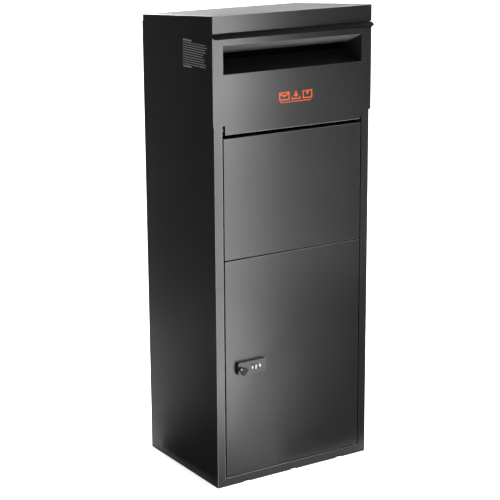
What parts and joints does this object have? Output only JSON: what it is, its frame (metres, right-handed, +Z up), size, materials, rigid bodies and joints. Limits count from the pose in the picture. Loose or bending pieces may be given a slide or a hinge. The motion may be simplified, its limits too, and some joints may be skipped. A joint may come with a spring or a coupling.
{
  "type": "parcel drop box",
  "caption": "Tall steel cabinet with a tilting parcel and letter hopper, a fixed panel and a hinged collection door with a combination lock.",
  "frame": {"origin": "middle of the base, on the surface the cabinet stands on", "axes": "+Z up, front of the cabinet towards -Y, +X to the right seen from the front"},
  "size_m": [0.4094, 0.3139, 1.045],
  "materials": {
    "powder_coat": "satin powder coat",
    "zinc": "zinc plated",
    "nylon": "matte",
    "rubber": "matte",
    "lock_plastic": "fine moulded grain"
  },
  "bodies": {
    "cabinet": {"front_frame": "powder_coat", "left_side_panel": "powder_coat", "right_side_panel": "powder_coat", "rear_panel": "powder_coat", "base_pan": "powder_coat", "roof_lid": "powder_coat", "roof_brackets": "zinc", "roof_screws": "zinc", "header_rail": "powder_coat", "centre_panel": "powder_coat", "mid_rail": "powder_coat", "top_hinge_bracket": "powder_coat", "bottom_hinge_bracket": "powder_coat", "hinge_washer": "nylon", "latch_keeper": "zinc", "door_stop_strips": "powder_coat", "door_buffers": "rubber", "anti_reach_baffle": "powder_coat", "floor_mat": "rubber", "pivot_bushes": "nylon", "hopper_stop_pins": "zinc", "rear_rivets": "powder_coat"},
    "hopper": {"hopper_front": "powder_coat", "pull_lip": "powder_coat", "slot_hood": "powder_coat", "slot_sill": "powder_coat", "hopper_left_wing": "powder_coat", "hopper_right_wing": "powder_coat", "hopper_tray": "powder_coat", "hopper_back_guard": "powder_coat", "hopper_pivot_pins": "zinc", "pivot_clips": "zinc", "hopper_buffers": "rubber"},
    "door": {"door_panel": "powder_coat", "door_stiffener": "powder_coat", "hinge_pins": "zinc", "door_hinge_blocks": "zinc", "lock_body": "lock_plastic", "lock_back_plate": "zinc", "lock_screws": "zinc", "wheel_axle": "zinc"},
    "knob": {"thumb_turn": "lock_plastic", "lock_spindle": "zinc", "lock_cam": "zinc", "cam_nut": "zinc"},
    "wheel_1": {"number_wheel_1": "lock_plastic"},
    "wheel_2": {"number_wheel_2": "lock_plastic"},
    "wheel_3": {"number_wheel_3": "lock_plastic"}
  },
  "joints": [
    {"name": "hopper_tilt", "type": "hinge", "parent": "cabinet", "child": "hopper", "pos_m": [0, -0.143, 0.8035], "axis": [1, 0, 0], "range_deg": [0, 42]},
    {"name": "door_swing", "type": "hinge", "parent": "cabinet", "child": "door", "pos_m": [0.172, -0.145, 0.27], "axis": [0, 0, 1], "range_deg": [0, 110]},
    {"name": "lock_turn", "type": "hinge", "parent": "door", "child": "knob", "pos_m": [-0.146, -0.15, 0.2715], "axis": [0, 1, 0], "range_deg": [0, 90]},
    {"name": "wheel_1_spin", "type": "hinge", "parent": "door", "child": "wheel_1", "pos_m": [-0.116, -0.15, 0.2715], "axis": [1, 0, 0], "continuous": true},
    {"name": "wheel_2_spin", "type": "hinge", "parent": "door", "child": "wheel_2", "pos_m": [-0.1065, -0.15, 0.2715], "axis": [1, 0, 0], "continuous": true},
    {"name": "wheel_3_spin", "type": "hinge", "parent": "door", "child": "wheel_3", "pos_m": [-0.097, -0.15, 0.2715], "axis": [1, 0, 0], "continuous": true}
  ]
}
